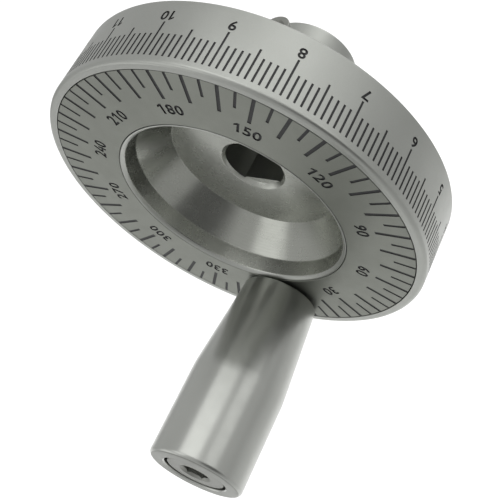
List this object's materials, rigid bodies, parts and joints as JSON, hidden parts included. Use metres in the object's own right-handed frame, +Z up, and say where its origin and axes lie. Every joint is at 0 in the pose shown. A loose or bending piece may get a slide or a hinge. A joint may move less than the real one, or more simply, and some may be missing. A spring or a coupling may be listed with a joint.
{
  "type": "dial handwheel",
  "caption": "Aluminium handwheel with a degree scale on its dished face, a division scale round its rim, a D-bored hub and a revolving crank handle.",
  "frame": {"origin": "on the wheel's axis at the rear end of the hub, where it seats against the shaft's shoulder", "axes": "+Y along the wheel's axis towards the machine, the dial faces -Y; +Z up, the handle and the 0 degree mark are at -Z; +X is towards the 90 degree mark"},
  "size_m": [0.1, 0.1067, 0.1018],
  "materials": {
    "wheel_aluminium": "fine turned and bead-blasted, clear anodised, black-filled engraving on the rim",
    "dial_aluminium": "bead-blasted and clear anodised, black-filled engraving",
    "grip_aluminium": "turned and polished",
    "screw_steel": "bright zinc plated",
    "axle_steel": "ground",
    "bush_bronze": "sintered bronze",
    "black_polymer": "matte black acetal"
  },
  "bodies": {
    "wheel": {"wheel_body": "wheel_aluminium", "face_dial_plate": "dial_aluminium", "hub_clamp_screw": "screw_steel", "handle_axle_sleeve": "axle_steel", "handle_end_washer": "axle_steel", "handle_foot_washer": "black_polymer", "handle_screw": "screw_steel"},
    "grip": {"handle_grip": "grip_aluminium", "grip_bush_inner": "bush_bronze", "grip_bush_outer": "bush_bronze"}
  },
  "joints": [
    {"name": "grip_spin", "type": "hinge", "parent": "wheel", "child": "grip", "pos_m": [0, -0.0798, -0.039], "axis": [0, -1, 0], "continuous": true}
  ]
}
